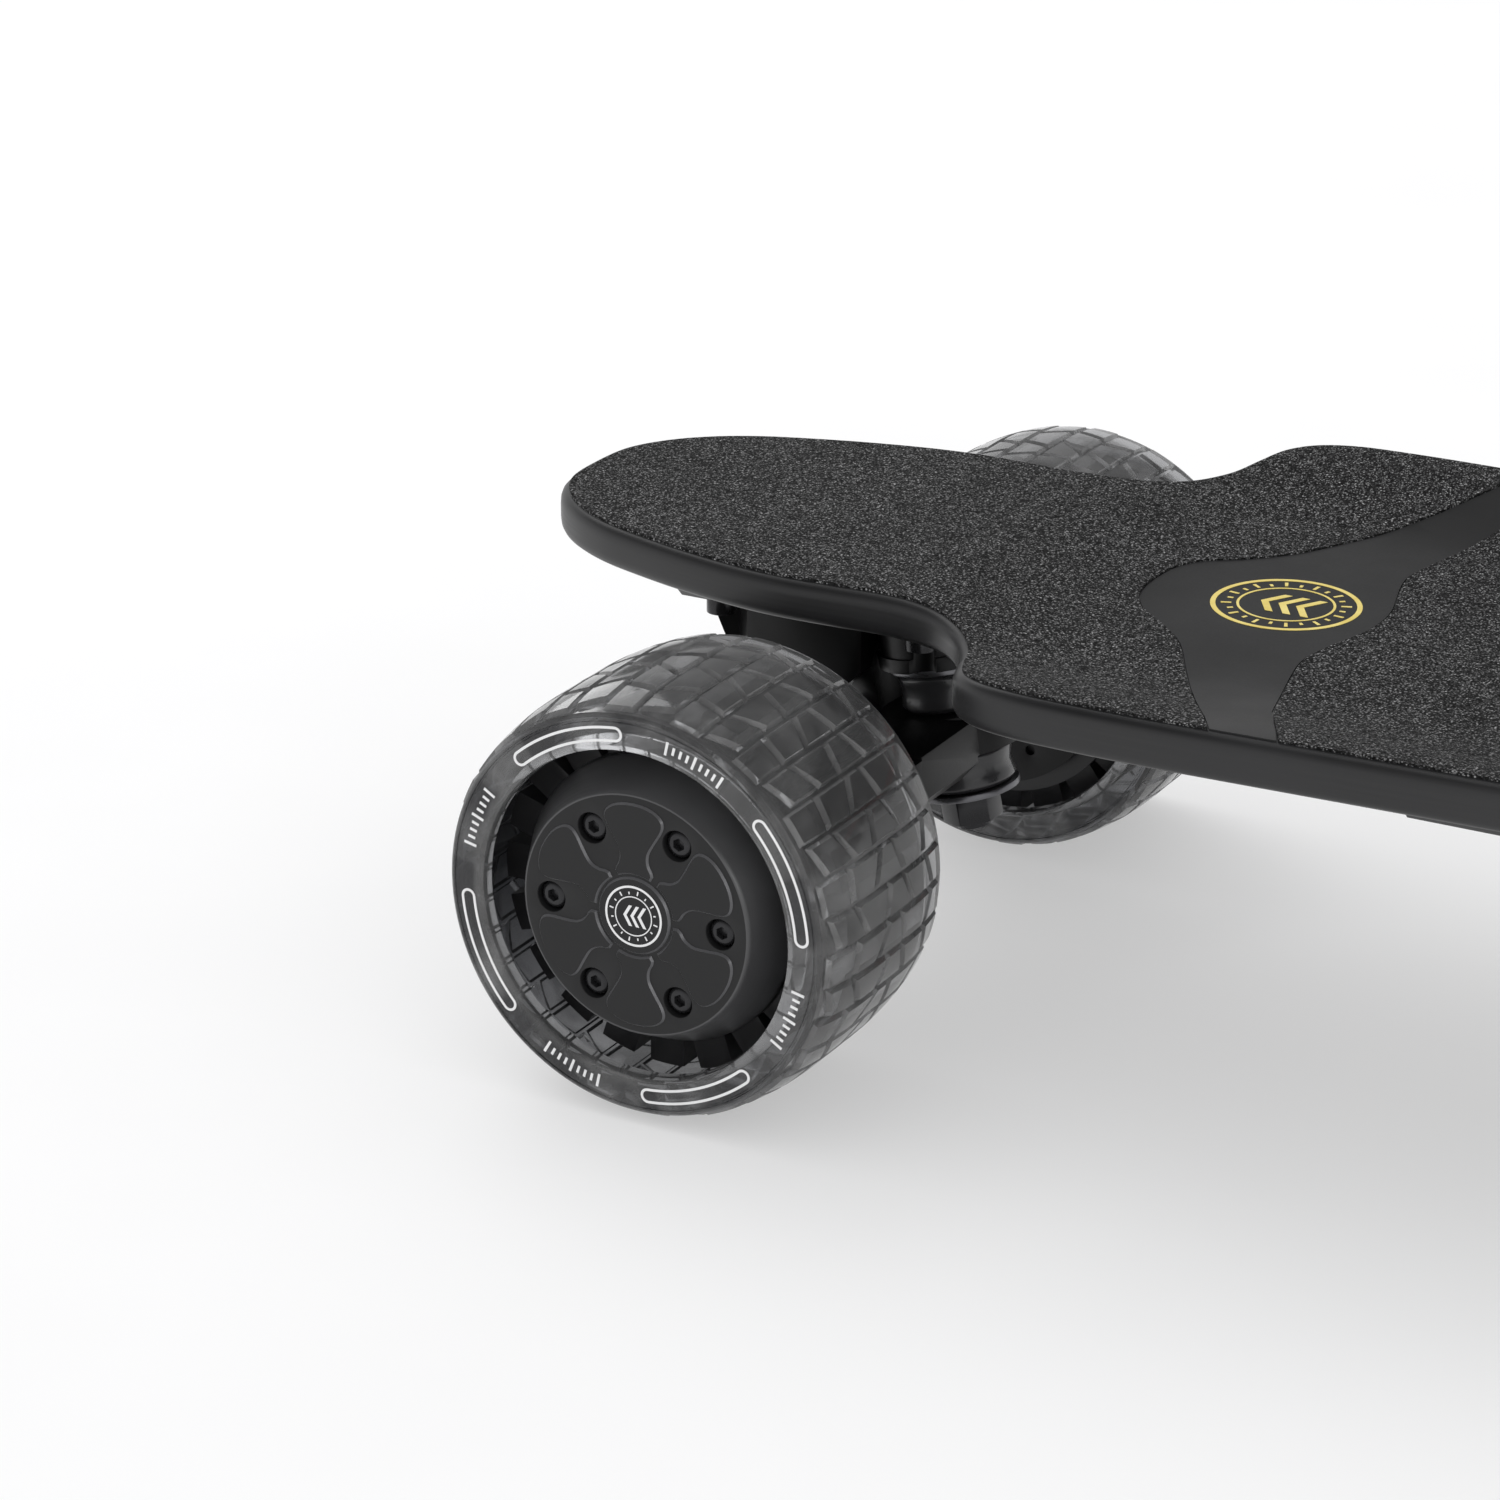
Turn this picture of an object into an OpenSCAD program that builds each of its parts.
// Electric skateboard with two hub motors in the rear wheels.
// Frame: millimetres, +Z up, +Y towards the tail, +X to the rider's left
// when facing the nose. The origin is on the ground, midway between the axles.
// In names, _hw is a half width, _hl a half length, _d a diameter, _r a radius,
// _w a width, _l a length, _h a height and _t a thickness.

/* [Board] */
// Distance between the front and rear axles
wheelbase = 780; // [740:1:820]
// Length of deck beyond each axle
overhang = 97; // [92:1:104]
// Half width of the tail and nose
tail_hw = 62.5; // [60:0.5:64]
// Half width of the standing platform at the shoulders
body_hw = 118; // [112:1:126]
// Half width of the deck at mid length
waist_hw = 111; // [104:1:118]
// Height of the deck's top above the ground
deck_top = 130; // [128:1:140]
// Thickness of the deck
deck_t = 12; // [10.5:0.5:13]
// Thickness of the grip tape
grip_t = 0.8; // [0.5:0.1:1.2]
// Width of bare deck left round the grip tape
grip_inset = 2.5; // [1.5:0.5:5]

/* [Wheels] */
// Outside diameter of a wheel
wheel_d = 120; // [118:1:124]
// Width of a wheel
wheel_w = 68; // [66:1:70]
// Distance from the centreline to the inboard side of a wheel
wheel_in = 73; // [73:0.5:76]
// Number of ribs in a wheel core
core_ribs = 20; // [12:1:22]
// Width of a rib
rib_w = 10.4; // [6:0.2:11]

/* [Motor] */
// Outside diameter of the motor can
can_d = 68.2; // [67:0.1:68.6]
// Number of stator teeth
teeth = 9; // [6:3:9]
// Number of magnets
magnets_n = 14; // [8:2:14]

/* [Trucks] */
// Tilt of the steering axis above the horizontal, degrees
steer_tilt = 25; // [24:0.5:26]
// Lean of the kingpin from the vertical, degrees
king_lean = 12; // [11:0.5:13]
// Thickness of the riser pads
riser_t = 5; // [4:0.5:6]
// Thickness of the truck baseplates
plate_t = 8; // [7:0.5:9]
// Hole spacing of the truck bolts across the board
bolt_x = 41.3; // [40:0.1:43]
// Hole spacing of the truck bolts along the board
bolt_y = 63.5; // [62:0.1:64]

/* [Battery cover] */
// Half width of the battery cover's box
cover_hw = 70; // [69.5:0.5:72]
// Half length of the battery cover's box
cover_hl = 205; // [204:1:215]
// Depth of the cover below the deck
cover_h = 19; // [19:0.5:21]

/* [Hidden] */
$fn = 64;
sides = [-1, 1];

// Heights above the ground
axle_z = wheel_d / 2;
deck_bot = deck_top - deck_t;
riser_z = deck_bot - riser_t;      // underside of the riser
plate_z = riser_z - plate_t;       // underside of the baseplate
cover_z = deck_bot - cover_h;      // underside of the battery cover

// Places along an axle, measured outboard from the centreline
face = wheel_in + 50.4;            // outboard face of the motor's end plate
can_in = wheel_in + 3;             // inboard end of the can
can_out = face - 1.5;              // outboard rim of the can

half_base = wheelbase / 2;
can_r = can_d / 2;
core_r = 40.5;                     // barrel of the wheel core and foot of the hub cap
bearing_r = 11;
bearing_seat_r = 11.05;
cap_screw_circle = 25.7;           // radius of the hub cap screws' circle

// ---------- colours ----------
black = [0.07, 0.07, 0.075];
charcoal = [0.11, 0.11, 0.115];
grip_grey = [0.16, 0.16, 0.165];
rubber = [0.2, 0.2, 0.21];
smoke = [0.33, 0.34, 0.36];
controller_grey = [0.35, 0.36, 0.38];
stator_grey = [0.45, 0.45, 0.47];
steel = [0.62, 0.63, 0.65];
silver = [0.75, 0.76, 0.78];
cell_blue = [0.12, 0.30, 0.42];
board_green = [0.05, 0.25, 0.12];
wire_red = [0.55, 0.10, 0.08];
copper = [0.62, 0.30, 0.14];

// ---------- solids ----------
// upright cylinder, cone and ring whose foot is at height z
module rod(z, r, h) { translate([0, 0, z]) cylinder(r = r, h = h); }
module cone(z, r1, r2, h) { translate([0, 0, z]) cylinder(r1 = r1, r2 = r2, h = h); }
module ring(z, outer, inner, h) {
  translate([0, 0, z]) difference() {
    cylinder(r = outer, h = h);
    rod(-1, inner, h + 2);
  }
}

// part of a ring: size is [radial width, height]
module arc(z, inner, size, angle) {
  translate([0, 0, z]) rotate_extrude(angle = angle) translate([inner, 0]) square(size);
}

// cylinders that start at a place and run along +X or +Y
module rod_x(place, r, h) { translate(place) rotate([0, 90, 0]) cylinder(r = r, h = h); }
module rod_y(place, r, h) { translate(place) rotate([-90, 0, 0]) cylinder(r = r, h = h); }

// [y, z] profile extruded across the board, centred on x
module slab(width, profile, x = 0) {
  translate([x - width / 2, 0, 0]) rotate([90, 0, 90]) linear_extrude(width) polygon(profile);
}

// [x, z] profile extruded along the board towards the nose from y
module bar(y, length, profile) {
  translate([0, y, 0]) rotate([90, 0, 0]) linear_extrude(length) polygon(profile);
}

// ---------- placement ----------
// evenly spaced turns about Z, the first at the start angle
module around(count, start = 0) {
  for (i = [0:count - 1]) rotate([0, 0, i * 360 / count + start]) children();
}

// Truck frame: origin on the ground under the axle, +Y away from mid length.
// The front truck mirrors the rear one.
module at_rear() { translate([0, half_base, 0]) children(); }
module at_front() { mirror([0, 1, 0]) at_rear() children(); }
module both_trucks() {
  at_rear() children();
  at_front() children();
}

// local +Z points outboard along the axle, from the centreline
module on_axle(side, rear) {
  translate([0, rear ? half_base : -half_base, axle_z]) rotate([0, side * 90, 0]) children();
}

// centre of the bushing seat in the truck frame
seat_y = -24;
seat_z = 72;
module from_seat(angle) { translate([0, seat_y, seat_z]) rotate([-angle, 0, 0]) children(); }
// local +Z runs up the kingpin
module on_kingpin() { from_seat(king_lean) children(); }
// local +Z runs up the steering axis, away from mid length
module on_steer() { from_seat(90 - steer_tilt) children(); }

bolt_mid = 9.25;                   // centre of the bolt pattern in the truck frame
module at_bolts() {
  for (x_side = sides, y_side = sides)
    translate([x_side * bolt_x / 2, bolt_mid + y_side * bolt_y / 2, 0]) children();
}

module at_cap_screws() { around(6, 30) translate([cap_screw_circle, 0, 0]) children(); }

// ---------- deck outline ----------
// Control points of one quarter, [x, y from the axle], from the tip to mid length.
// Tip: fractions of [tail_hw, overhang]
tip = [[0, 1], [0.26, 0.985], [0.465, 0.915], [0.625, 0.81], [0.745, 0.68], [0.835, 0.525],
  [0.915, 0.35], [0.98, 0.155], [1.005, 0]];
// Shoulder: [fraction of the way from tail_hw to body_hw, y]
shoulder = [[0.2, -59], [0.41, -66.5], [0.62, -71], [0.8, -76], [0.92, -84.5]];
quarter = concat(
  [for (p = tip) [p[0] * tail_hw, p[1] * overhang]],
  [[tail_hw, -15], [0.99 * tail_hw, -28], [1.003 * tail_hw, -39], [tail_hw + 3.5, -49.5]],
  [for (p = shoulder) [tail_hw + p[0] * (body_hw - tail_hw), p[1]]],
  [[body_hw - 1, -97], [body_hw, -113], [body_hw, -135], [body_hw - 1.2, -168],
    [(waist_hw + body_hw) / 2, -225], [waist_hw + 1, -half_base + 90], [waist_hw, -half_base]]);
last = len(quarter) - 1;
steps = 2;                         // outline points per control point

// control point, mirrored where i runs past either end of the quarter
function control(i) =
  i < 0 ? [-quarter[1][0], quarter[1][1]]
  : i > last ? [quarter[last - 1][0], -2 * half_base - quarter[last - 1][1]]
  : quarter[i];

// Catmull-Rom curve from b to c and its derivative
function curve(a, b, c, d, t) =
  0.5 * (2 * b + (c - a) * t + (2 * a - 5 * b + 4 * c - d) * t * t
    + (3 * b - a - 3 * c + d) * t * t * t);
function slope(a, b, c, d, t) =
  0.5 * ((c - a) + 2 * (2 * a - 5 * b + 4 * c - d) * t + 3 * (3 * b - a - 3 * c + d) * t * t);

// point of the quarter, moved inwards along the outline's normal
function edge_point(i, t, inset) =
  let (a = control(i - 1), b = control(i), c = control(i + 1), d = control(i + 2),
    p = curve(a, b, c, d, t), v = slope(a, b, c, d, t))
  [p[0] + inset * v[1] / norm(v), p[1] - inset * v[0] / norm(v)];
function quarter_in(inset) = concat(
  [[0, overhang - inset]],
  [for (i = [0:last - 1], k = [0:steps - 1]) if (i + k > 0) edge_point(i, k / steps, inset)],
  [[waist_hw - inset, -half_base]]);

// +X half, from the tail's tip to the nose's
function half_in(inset) =
  let (points = quarter_in(inset))
  concat([for (p = points) [p[0], p[1] + half_base]],
    [for (k = [len(points) - 2:-1:0]) [points[k][0], -points[k][1] - half_base]]);

// closes a half outline that starts and ends on x = 0
function both_sides(half) =
  concat(half, [for (k = [len(half) - 2:-1:1]) [-half[k][0], half[k][1]]]);
module deck_2d(inset = 0) { polygon(both_sides(half_in(inset))); }

// Splash-shaped window in the grip tape, +X half, [x, y from the axle]:
// the edge nearer the tip outwards, then the edge nearer mid length inwards
window_tip_edge = [[0, -82], [11, -83], [21, -88], [30, -99], [41, -110], [59, -119],
  [85, -133], [135, -161]];
window_mid_edge = [[135, -178], [90, -157], [75, -151.5], [53, -145], [36, -141], [27, -142],
  [10, -146], [0, -146.5]];
module window_2d(inset) {
  translate([0, half_base]) polygon(both_sides(concat(
    [for (p = window_tip_edge) [p[0], p[1] - inset]],
    [for (p = window_mid_edge) [p[0], p[1] + inset]])));
}
module windows_2d(inset = 0) {
  window_2d(inset);
  mirror([0, 1]) window_2d(inset);
}

// ---------- deck ----------
tee_nut_t = 1.3;                   // depth of the recess for a tee nut's disc

module deck() color(charcoal) difference() {
  translate([0, 0, deck_bot]) linear_extrude(deck_t) deck_2d();
  // routed pocket over the battery
  translate([-67.2, -203, deck_bot - 1]) cube([134.4, 196.5, 4.5]);
  both_trucks() at_bolts() {
    rod(deck_bot - 1, r = 3.6, h = deck_t + 2);
    rod(deck_top - tee_nut_t, r = 8.1, h = 2);
  }
  at_cover_screws() rod(deck_bot - 1, r = 1.6, h = 8);
}

module grip_tape() color(grip_grey) translate([0, 0, deck_top]) linear_extrude(grip_t)
  difference() {
    deck_2d(grip_inset);
    windows_2d();
  }

// thinner inlay inside the grip tape's windows
module deck_graphic() color(charcoal) translate([0, 0, deck_top]) linear_extrude(grip_t - 0.3)
  intersection() {
    deck_2d(grip_inset);
    windows_2d(0.4);
  }

// ---------- battery cover ----------
cover_wall = 2.5;
cover_rim = 10;                    // width of the flange round the box
port_z = cover_z + 9.2;            // height of the charge port and the button
port_y = 36;
button_y = 74;
side_hole_r = 5.05;
outlet_z = deck_bot - 6;           // height of the cable outlet

module at_cover_screws() {
  for (side = sides) {
    for (k = [-2:2])
      translate([side * (cover_hw + cover_rim / 2), k * 0.47 * cover_hl, 0]) children();
    for (end = sides)
      translate([side * 35, end * (cover_hl + cover_rim / 2), 0]) children();
  }
}

// local +Z points out of the cover's left side
module on_cover_side(y) { translate([cover_hw, y, port_z]) rotate([0, 90, 0]) children(); }

// box whose lower long edges are chamfered
module cover_box(hw, hl, foot, chamfer) {
  top = foot + cover_h;
  bar(hl, 2 * hl, [[-hw, top], [-hw, foot + chamfer], [-hw + chamfer, foot],
    [hw - chamfer, foot], [hw, foot + chamfer], [hw, top]]);
}

module battery_cover() color(black) difference() {
  union() {
    cover_box(cover_hw, cover_hl, cover_z, 3);
    // flange under the deck
    translate([-cover_hw - cover_rim, -cover_hl - cover_rim, deck_bot - cover_wall])
      cube([2 * (cover_hw + cover_rim), 2 * (cover_hl + cover_rim), cover_wall]);
    // ribs along the underside
    for (k = [-3:3]) translate([k * 18 - 1.5, -cover_hl + 18, cover_z - 1])
      cube([3, 2 * cover_hl - 36, 1.5]);
  }
  cover_box(cover_hw - cover_wall, cover_hl - cover_wall, cover_z + cover_wall, 2);
  at_cover_screws() rod(deck_bot - 4, r = 2.1, h = 6);
  for (y = [port_y, button_y]) rod_x([cover_hw - 6, y, port_z], r = side_hole_r, h = 12);
  // cable outlet towards the rear truck
  rod_y([0, cover_hl - 6, outlet_z], r = 3, h = 20);
}

module cover_screws() color(steel) at_cover_screws() difference() {
  union() {
    rod(deck_bot - cover_wall, r = 1.55, h = 8);
    cone(deck_bot - 4.7, r1 = 2.6, r2 = 3.6, h = 2.2);
  }
  rod(deck_bot - 5, r = 1.3, h = 1.8, $fn = 6);
}

// rubber flap hinged beside the port, on its tail side
flap_z = 1.75;                     // underside of the flap, out from the cover's side
flap_t = 1.3;
hinge_l = 4.4;
module charge_port_cap() color(charcoal) on_cover_side(port_y) {
  rod(flap_z, r = 6.4, h = flap_t);
  // plug
  rod(0.2, r = 2.6, h = 1.7);
  // tab, hinge barrel and the link between them
  translate([-hinge_l / 2, 6, flap_z]) cube([hinge_l, 5, flap_t]);
  rod_x([-hinge_l / 2, 12.1, 1.7], r = 1.2, h = hinge_l);
  translate([-hinge_l / 2, 10.6, flap_z]) cube([hinge_l, 1.5, 1.1]);
}

module charge_port() color(black) on_cover_side(port_y) {
  difference() {
    union() {
      rod(0.05, r = 6.6, h = 1.6);
      rod(-9, r = 4.95, h = 9.5);
    }
    rod(-8, r = 2.75, h = 12);
  }
  // centre pin
  rod(-8, r = 1.1, h = 7);
}

module power_button() color(silver) on_cover_side(button_y) difference() {
  union() {
    rod(-3.5, r = 5, h = 5.3);
    rod(-5.2, r = 5.6, h = 1.7);
  }
  ring(1.4, outer = 3.2, inner = 2.6, h = 1);
}

// ---------- electronics ----------
cell_r = 9.1;
cell_l = 65;
bms_y = 4;                         // end of the board nearer the nose
bms_w = 96;
bms_l = 48;
bms_z = cover_z + 6;
bms_t = 1.6;
controller_y = 88;                 // end of the controller nearer the nose
controller_w = 92;
controller_l = 96;

// two rows of ten cells that lie across the board
module battery_cells() color(cell_blue) for (i = [0:9], side = sides)
  rod_x([side * 33.1 - cell_l / 2, -193 + i * 19, cover_z + 2.8 + cell_r], cell_r, cell_l);

module bms_board() color(board_green) {
  difference() {
    translate([-bms_w / 2, bms_y, bms_z]) cube([bms_w, bms_l, bms_t]);
    for (side = sides, y = [bms_y + 4, bms_y + bms_l - 4])
      translate([side * (bms_w / 2 - 4), y, 0]) rod(cover_z, r = 1.6, h = 12);
  }
  // row of eight small blocks and one long one
  for (k = [0:7]) translate([-38 + k * 10, 12, bms_z + bms_t]) cube([6, 9, 2.2]);
  translate([-20, 34, bms_z + bms_t]) cube([40, 8, 5]);
}

// block with grooves along its top
module motor_controller() color(controller_grey) difference() {
  translate([-controller_w / 2, controller_y, cover_z + 3]) cube([controller_w, controller_l, 13]);
  for (k = [-5:5]) translate([k * 8 - 1.5, controller_y - 1, cover_z + 12])
    cube([3, controller_l + 2, 5]);
}

module wire(start, end, r) {
  v = end - start;
  translate(start) rotate([0, acos(v[2] / norm(v)), atan2(v[1], v[0])])
    cylinder(r = r, h = norm(v), $fn = 24);
}

module wiring_harness() color(wire_red) {
  z = cover_z + 10;
  gap = 0.4;                       // between a wire's end and the board or controller
  for (side = sides) {
    wire([side * 30, -5.2, z], [side * 30, bms_y - gap, z], 2);
    wire([side * 18, bms_y + bms_l + gap, z], [side * 18, controller_y - gap, z], 2);
  }
  // cable from the controller to the rear truck
  wire([0, controller_y + controller_l + gap, outlet_z], [0, half_base - 42, outlet_z], 2.8);
  // leads of the charge port and the button
  wire([48.4, port_y, port_z], [60.6, port_y, port_z], 1.4);
  wire([47, button_y + 16, port_z], [60, button_y + 4, port_z], 1);
}

// ---------- truck mountings ----------
bolt_hole_r = 2.75;                // in the riser and the baseplate

module truck_bolts() color(steel) both_trucks() at_bolts() difference() {
  union() {
    rod(plate_z - 4.6, r = 4.3, h = 4.6);
    rod(plate_z - 0.1, r = 2.45, h = deck_top - 2 - plate_z);
  }
  rod(plate_z - 5, r = 2.3, h = 3, $fn = 6);
}

module tee_nuts() color(steel) both_trucks() at_bolts() difference() {
  union() {
    rod(deck_top - tee_nut_t, r = 8, h = 1.25);
    rod(deck_top - 10, r = 3.5, h = 9);
  }
  rod(deck_top - 12, r = 2.5, h = 14);
}

module riser_pads() color(black) both_trucks() difference() {
  translate([-30, bolt_mid - 43, riser_z]) cube([60, 86, riser_t]);
  at_bolts() rod(riser_z - 1, r = bolt_hole_r, h = riser_t + 2);
  // opening over the kingpin's head
  translate([0, seat_y + 8, 0]) rod(riser_z - 1, r = 9, h = riser_t + 2);
}

// Baseplate, in the truck frame
plate_hw = 29;
plate_chamfer = 3.5;
boss_foot = 60;                    // lowest height of the boss over the bushing
// [y, z] profile of the wedge that carries the pivot
wedge_profile = [[-2, plate_z + 1], [46, plate_z + 1], [46, plate_z - 3], [38, 72], [34, 68],
  [27, 68], [21, 78], [6, 81], [-2, 88]];
module baseplate() difference() {
  union() {
    // plate whose lower long edges are chamfered
    bar(bolt_mid + 42, 84, [[-plate_hw, riser_z], [-plate_hw, plate_z + plate_chamfer],
      [-plate_hw + plate_chamfer, plate_z], [plate_hw - plate_chamfer, plate_z],
      [plate_hw, plate_z + plate_chamfer], [plate_hw, riser_z]]);
    slab(34, wedge_profile);
    // boss over the upper bushing
    intersection() {
      on_kingpin() {
        rod(20, r = 17.6, h = 24);
        rod(20, r = 18.8, h = 4);
      }
      translate([-30, -60, boss_foot]) cube([60, 80, riser_z - boss_foot]);
    }
  }
  // kingpin's hole and hexagonal head pocket
  on_kingpin() {
    rod(10, r = 5.05, h = 60);
    rod(35, r = 8.6, h = 20, $fn = 6);
  }
  // socket of the pivot
  on_steer() {
    rod(30, r = 9, h = 29);
    rod(4, r = 11.6, h = 27);
  }
  // bolt holes, with room for the heads below the plate
  at_bolts() {
    rod(plate_z - 1, r = bolt_hole_r, h = plate_t + 2);
    rod(plate_z - 32, r = 4.7, h = 32);
  }
  // upright V-shaped cuts in the wedge's sides
  for (side = sides) translate([side * 21, 40, 60]) rotate([0, 0, 45])
    cube([13, 13, 88], center = true);
}
module rear_baseplate() color(black) at_rear() baseplate();
module front_baseplate() color(black) at_front() baseplate();

// ---------- kingpins and bushings ----------
module kingpins() color(steel) both_trucks() on_kingpin() {
  rod(-31, r = 5, h = 66);
  rod(35.05, r = 8.4, h = 4.5, $fn = 6);
}

module kingpin_nuts() color(steel) both_trucks() on_kingpin() difference() {
  rod(-29, r = 8.7, h = 8.9, $fn = 6);
  rod(-30, r = 5.03, h = 12);
}

module bushing_washers() color(steel) both_trucks() on_kingpin() {
  ring(18.05, outer = 16.5, inner = 5.05, h = 1.9);
  ring(-19.95, outer = 15, inner = 5.05, h = 1.9);
}

// [radius, height] profile of a bushing
bushing_profile = [[5.1, 0], [13.2, 0], [14.5, 1.6], [13.6, 5.9], [14.5, 10.2], [13.2, 11.8],
  [5.1, 11.8]];
module bushings() color(rubber) both_trucks() on_kingpin() for (z = [6.1, -17.9])
  translate([0, 0, z]) rotate_extrude() polygon(bushing_profile);

module pivot_cups() color(rubber) both_trucks() on_steer() difference() {
  rod(39, r = 8.95, h = 19.9);
  rod(38, r = 6.05, h = 18);
}

// ---------- hangers, in the truck frame ----------
beam_hw = 66;
clamp_x = 56;                      // middle of a clamp block
clamp_w = 20;
clamp_screw_x = 59;
// clamp screws: [y of the boss, z, y where the hole starts, length of the hole]
clamp_screws = [[-22, 86, -45, 42], [-40, 71, -42, 20]];
// [y, z] profiles
beam_profile = [[-13, 49], [9, 49], [13, 53], [13, 66], [7, 73], [-9, 76], [-16, 70], [-16, 54]];
wing_profile = [[-38, 67], [-34, 62], [-12, 56], [-8, 76], [-20, 79], [-36, 79]];
clamp_profile = [[-36, 64], [-36, 78], [-20, 84], [-4, 88], [5, 78], [14, 66], [14, 52], [8, 47],
  [-12, 47], [-28, 56]];

module hanger(rear) difference() {
  union() {
    // cross beam round the axle
    slab(2 * beam_hw, beam_profile);
    // wing that holds the bushing seat
    slab(100, wing_profile);
    // clamp blocks at both ends, with screw bosses
    for (side = sides) {
      slab(clamp_w, clamp_profile, side * clamp_x);
      for (screw = clamp_screws)
        rod_y([side * clamp_screw_x, screw[0], screw[1]], r = 6, h = 22);
    }
    on_kingpin() rod(-6, r = 18, h = 12);
    // nose of the pivot
    on_steer() {
      rod(12, r = 10, h = 18);
      rod(12, r = 6, h = 42);
    }
  }
  // kingpin's hole and room for the bushings
  on_kingpin() {
    rod(-8, r = 8, h = 16);
    rod(6, r = 21, h = 40);
    rod(-26, r = 19, h = 20);
  }
  if (rear) for (side = sides) {
    translate([side * 25, 0, axle_z]) rotate([0, side * 90, 0]) cylinder(r = 6.02, h = 60);
    for (screw = clamp_screws)
      rod_y([side * clamp_screw_x, screw[2], screw[1]], r = 2.6, h = screw[3]);
    // split of the clamp
    translate([side * clamp_x - clamp_w / 2 - 0.5, -45, 78]) cube([clamp_w + 1, 40, 1.2]);
  } else rod_x([-80, 0, axle_z], r = 4.02, h = 160);
}
module rear_hanger() color(black) at_rear() hanger(true);
module front_hanger() color(black) at_front() hanger(false);

module axle_clamp_screws() color(steel) at_rear() for (side = sides, screw = clamp_screws)
  translate([side * clamp_screw_x, screw[0] + 2.2, screw[1]]) difference() {
    rod_y([0, 0, 0], r = 2.55, h = 15);
    rod_y([0, -1, 0], r = 1.5, h = 3.2, $fn = 6);
  }

// ---------- front axle and wheel bearings ----------
front_axle_hl = 118;
inner_bearing = 79.5;              // inboard ends of the bearings, from the centreline
outer_bearing = 105.4;

module front_axle() color(steel)
  rod_x([-front_axle_hl, -half_base, axle_z], r = 3.97, h = 2 * front_axle_hl);

// nuts and the spacers between the hanger and the inner bearings
module front_axle_nuts() color(steel) for (side = sides) on_axle(side, false) {
  difference() {
    rod(112.4, r = 7.4, h = 5, $fn = 6);
    rod(111.4, r = 4, h = 8);
  }
  ring(beam_hw + 0.05, outer = 6, inner = 4.02, h = 13.3);
}

// two races, eight balls and a thin ring between the races
module bearing(z, bore, h) translate([0, 0, z]) {
  ring(0, bearing_r, bearing_r - 1.9, h);
  ring(0, bore + 1.7, bore, h);
  around(8) translate([(bore + bearing_r - 0.2) / 2, 0, h / 2])
    sphere(r = (bearing_r - bore - 3.8) / 2 - 0.05, $fn = 24);
  ring(0.4, bearing_r - 2, bore + 1.8, 0.4);
}

module wheel_bearings(side) color(steel) on_axle(side, false) {
  bearing(inner_bearing, bore = 4.01, h = 6.4);
  bearing(outer_bearing, bore = 4.01, h = 6.9);
}

// ---------- hub motor, drawn along the axle ----------
stator_in = wheel_in + 9;
stator_l = 24;
stator_r = 28.2;
magnet_in_r = 28.8;                // inner face of the magnets
magnet_out_r = can_r - 2.55;       // also the end plate's plug
can_bore_r = can_r - 2.5;
rim_bevel = 0.5;
groove = 0.7;                      // depth of the end plate's grooves

module motor_axles() color(steel) for (side = sides) on_axle(side, true) difference() {
  union() {
    rod(26, r = 6, h = face - 7.4 - 26);
    // boss inside the stator
    rod(stator_in, r = 9.9, h = stator_l);
  }
  // bore for the cables
  rod(20, r = 2.4, h = wheel_in + 10);
}

// the slots between the teeth widen behind narrow mouths
module motor_stators() color(stator_grey) for (side = sides) on_axle(side, true) difference() {
  rod(stator_in, r = stator_r, h = stator_l);
  rod(stator_in - 1, r = 9.95, h = 40);
  around(teeth, 180 / teeth) {
    translate([14, -1.6, stator_in - 1]) cube([16, 3.2, 40]);
    translate([15, -4.1, stator_in - 1]) cube([10.4, 8.2, 40]);
  }
}

// two coil sides in each slot
module motor_windings() color(copper) for (side = sides) on_axle(side, true)
  around(teeth, 180 / teeth) for (flip = [0, 1]) mirror([0, flip, 0])
    translate([15.3, 0.3, stator_in - 2.5]) cube([9.8, 3.5, stator_l + 5]);

module motor_magnets(side) color(steel) on_axle(side, true) around(magnets_n)
  arc(stator_in - 2, magnet_in_r, [magnet_out_r - magnet_in_r, stator_l + 4],
    360 / magnets_n - 3);

// screws on the seam between the can and the end plate
module at_seam() { around(6, 8) translate([32.3, 0, 0]) children(); }
module seam_holes(head_h) at_seam() {
  rod(can_out - 2.2, r = 1.6, h = head_h);
  rod(can_out - 6.2, r = 0.85, h = 6);
}

module end_plate_screws(side) color(steel) on_axle(side, true) at_seam() {
  rod(can_out - 6, r = 0.8, h = 4);
  difference() {
    rod(can_out - 2.15, r = 1.4, h = 1.5);
    rod(can_out - 1.35, r = 0.7, h = 2, $fn = 6);
  }
}

module motor_can(side) color(black) on_axle(side, true) difference() {
  union() {
    ring(can_in, can_r, can_bore_r, can_out - can_in - rim_bevel);
    // bevelled rim
    difference() {
      cone(can_out - rim_bevel, can_r, can_r - rim_bevel, rim_bevel);
      rod(can_out - rim_bevel - 1, can_bore_r, 3);
    }
  }
  seam_holes(4);
}

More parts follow.
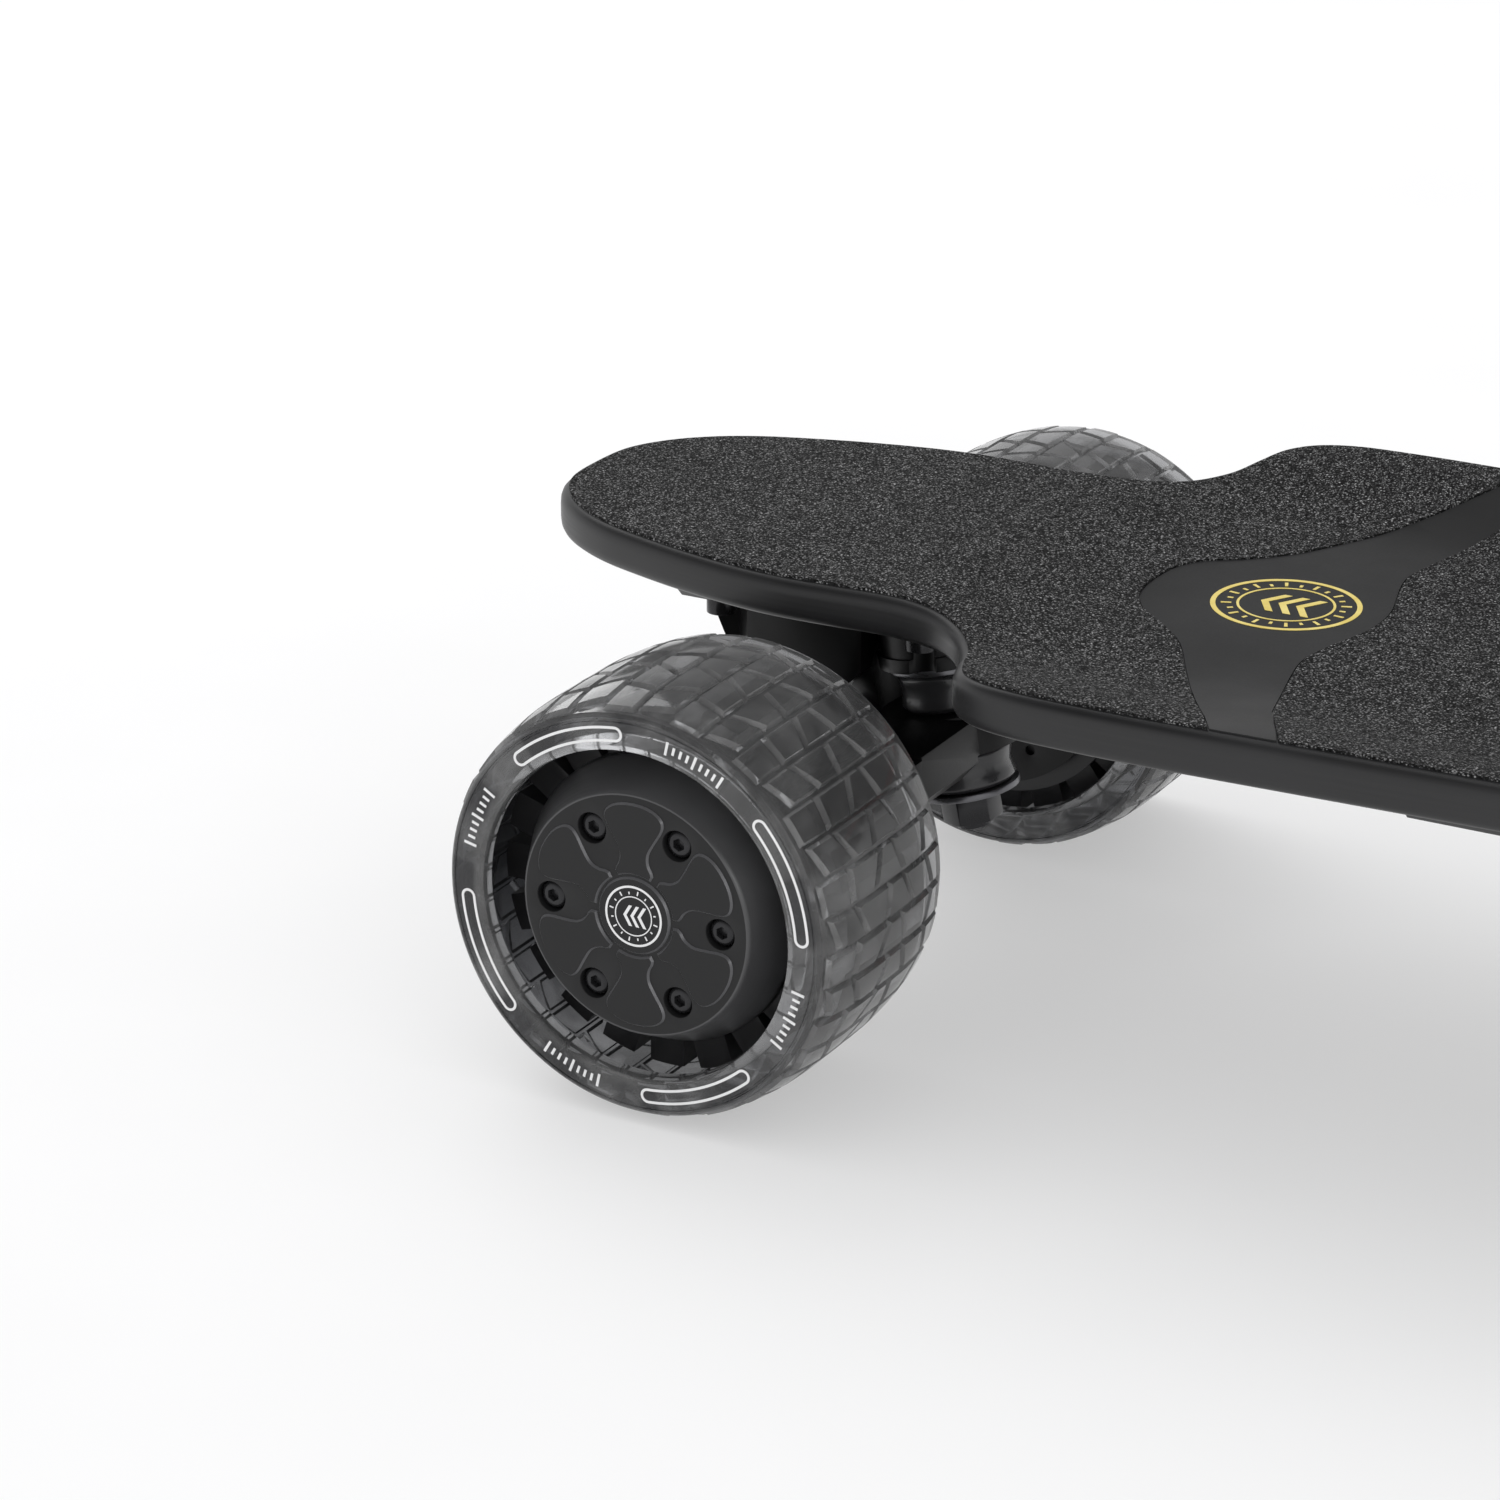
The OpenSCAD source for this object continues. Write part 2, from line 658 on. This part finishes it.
module motor_end_plate(side) color(charcoal) on_axle(side, true) difference() {
  union() {
    rod(face - 6.9, magnet_out_r, 6.9);
    rod(can_out + 0.05, can_r - rim_bevel, face - can_out - 0.05);
    rod(face - 13.9, r = 16, h = 8);
  }
  // seat of the outer bearing
  rod(face - 14.9, bearing_seat_r, 8);
  // holes that take the hub cap's screws
  at_cap_screws() rod(face - 6, r = 1.5, h = 8);
  // edge notches over the seam screws
  seam_holes(6);
  // straight and curved grooves of the face
  around(6, 52) translate([18, -0.45, face - groove]) cube([15, 0.9, 2]);
  around(3, 52) arc(face - groove, 17.6, [0.9, 2], 44);
}

// plate that closes the can's inboard end
module motor_flange(side) color(black) on_axle(side, true) {
  foot = can_in - 5;
  disc_t = 4.95;
  difference() {
    union() {
      rod(foot, can_r + 1.4, disc_t);
      rod(can_in - 1, can_r - 2.6, 3);
      // lobes of the edge
      around(6) translate([can_r + 0.4, 0, 0]) rod(foot, 2.2, disc_t);
    }
    // bearing seat and axle opening
    rod(can_in - 4, bearing_seat_r, 8);
    rod(can_in - 7, r = 8, h = 8);
    // blind holes and edge grooves of the inboard face
    around(6, 30) translate([27, 0, 0]) rod(foot - 1, r = 1.6, h = 3);
    around(3, 12) arc(foot - 1, can_r + 0.6, [2, 2.5], 26);
  }
}

module motor_bearings(side) color(steel) on_axle(side, true)
  for (z = [can_in - 3.95, face - 13.8]) bearing(z, bore = 6.04, h = 5.9);

// ---------- wheels, drawn along the axle ----------
tread_r = wheel_d / 2;
// [radius, place across the wheel] profile of a tyre
tyre_profile = [[46, 0], [55.6, 0], [57.4, 1.2], [tread_r - 1.4, 10], [tread_r, 20],
  [tread_r, wheel_w - 20], [tread_r - 1.4, wheel_w - 10], [57.4, wheel_w - 1.2],
  [55.6, wheel_w], [46, wheel_w], [46, wheel_w - 5], [50.1, wheel_w - 9], [50.1, 9], [46, 5]];
module tyre(side, rear) color(smoke) on_axle(side, rear) translate([0, 0, wheel_in])
  rotate_extrude($fn = 96) polygon(tyre_profile);

core_in = can_in + 1;              // inboard end of the core's barrel
// barrel with ribs out to the tyre
module core_body() {
  ring(core_in, core_r, can_r + 0.12, face - core_in);
  intersection() {
    around(core_ribs) translate([39.5, -rib_w / 2, wheel_in + 10]) cube([12, rib_w, 40]);
    rod(wheel_in, r = 50, h = 60);
  }
}
module wheel_core(side) color(black) on_axle(side, true) core_body();

// the front core has webs and a bearing housing in place of the motor
module front_core(side) color(black) on_axle(side, false) {
  core_body();
  difference() {
    union() {
      rod(core_in, can_r + 0.2, 6);
      rod(face - 8, can_r + 0.2, 8);
      rod(core_in, 15, face - core_in - 1);
    }
    rod(can_in - 1, r = 6.5, h = 60);
    rod(can_in, bearing_seat_r, 10);
    rod(outer_bearing - 0.1, bearing_seat_r, 30);
    at_cap_screws() rod(face - 6, r = 1.5, h = 8);
  }
}

// ---------- hub caps ----------
cap_foot = face + 0.1;             // the cap's columns stand on the motor's face
cap_top = wheel_in + wheel_w - 1;  // outer face of the cap
cap_rim_t = 3;                     // straight part of the cap's side
line_z = cap_top - 0.5;            // floor of the engraved lines
line_w = 0.7;

module hub_cap(side, rear) color(charcoal) on_axle(side, rear) difference() {
  union() {
    rod(cap_foot, core_r, cap_rim_t);
    cone(cap_foot + cap_rim_t, core_r, 33.8, cap_top - cap_foot - cap_rim_t);
  }
  // hollow that leaves six screw columns and one in the centre
  difference() {
    union() {
      rod(cap_foot - 1, r = 36, h = 5);
      cone(cap_foot + 3.9, r1 = 36, r2 = 31, h = 6);
    }
    at_cap_screws() rod(cap_foot - 2, r = 5, h = 30);
    rod(cap_foot - 2, r = 8, h = 30);
  }
  rod(cap_foot - 1, r = 6.5, h = 2);
  at_cap_screws() {
    rod(cap_foot - 1, r = 1.65, h = 40);
    rod(cap_top - 4.2, r = 4.6, h = 6);
  }
  // lines that outline six plain petals and the centre
  around(6, -10) arc(line_z, 31, [line_w, 1], 20);
  for (angle = [-18.5, 18.5]) around(6, angle)
    translate([15, -line_w / 2, line_z]) cube([12, line_w, 1]);
  ring(line_z, outer = 11.2, inner = 10.5, h = 1);
}

module hub_cap_screws(side, rear) color(steel) on_axle(side, rear) at_cap_screws()
  difference() {
    union() {
      rod(cap_foot - 4.6, r = 1.45, h = cap_top - cap_foot + 0.8);
      rod(cap_top - 4.15, r = 4.1, h = 1.4);
      cone(cap_top - 2.75, r1 = 4.1, r2 = 2.9, h = 1.2);
    }
    rod(cap_top - 3.4, r = 1.5, h = 4, $fn = 6);
  }

deck();
grip_tape();
deck_graphic();
battery_cover();
cover_screws();
battery_cells();
bms_board();
motor_controller();
wiring_harness();
charge_port();
riser_pads();
truck_bolts();
tee_nuts();
rear_baseplate();
front_baseplate();
kingpins();
kingpin_nuts();
bushing_washers();
bushings();
pivot_cups();
power_button();
charge_port_cap();
rear_hanger();
motor_axles();
axle_clamp_screws();
motor_stators();
motor_windings();
motor_can(1);  // motor_can_left
motor_magnets(1);  // motor_magnets_left
motor_end_plate(1);  // motor_end_plate_left
motor_flange(1);  // motor_flange_left
end_plate_screws(1);  // end_plate_screws_left
motor_bearings(1);  // motor_bearings_left
motor_can(-1);  // motor_can_right
motor_magnets(-1);  // motor_magnets_right
motor_end_plate(-1);  // motor_end_plate_right
motor_flange(-1);  // motor_flange_right
end_plate_screws(-1);  // end_plate_screws_right
motor_bearings(-1);  // motor_bearings_right
tyre(1, true);  // tyre_rear_left
wheel_core(1);  // wheel_core_rear_left
hub_cap(1, true);  // hub_cap_rear_left
hub_cap_screws(1, true);  // hub_cap_screws_rear_left
tyre(-1, true);  // tyre_rear_right
wheel_core(-1);  // wheel_core_rear_right
hub_cap(-1, true);  // hub_cap_rear_right
hub_cap_screws(-1, true);  // hub_cap_screws_rear_right
front_hanger();
front_axle();
front_axle_nuts();
tyre(1, false);  // tyre_front_left
front_core(1);  // wheel_core_front_left
hub_cap(1, false);  // hub_cap_front_left
hub_cap_screws(1, false);  // hub_cap_screws_front_left
wheel_bearings(1);  // wheel_bearings_front_left
tyre(-1, false);  // tyre_front_right
front_core(-1);  // wheel_core_front_right
hub_cap(-1, false);  // hub_cap_front_right
hub_cap_screws(-1, false);  // hub_cap_screws_front_right
wheel_bearings(-1);  // wheel_bearings_front_right
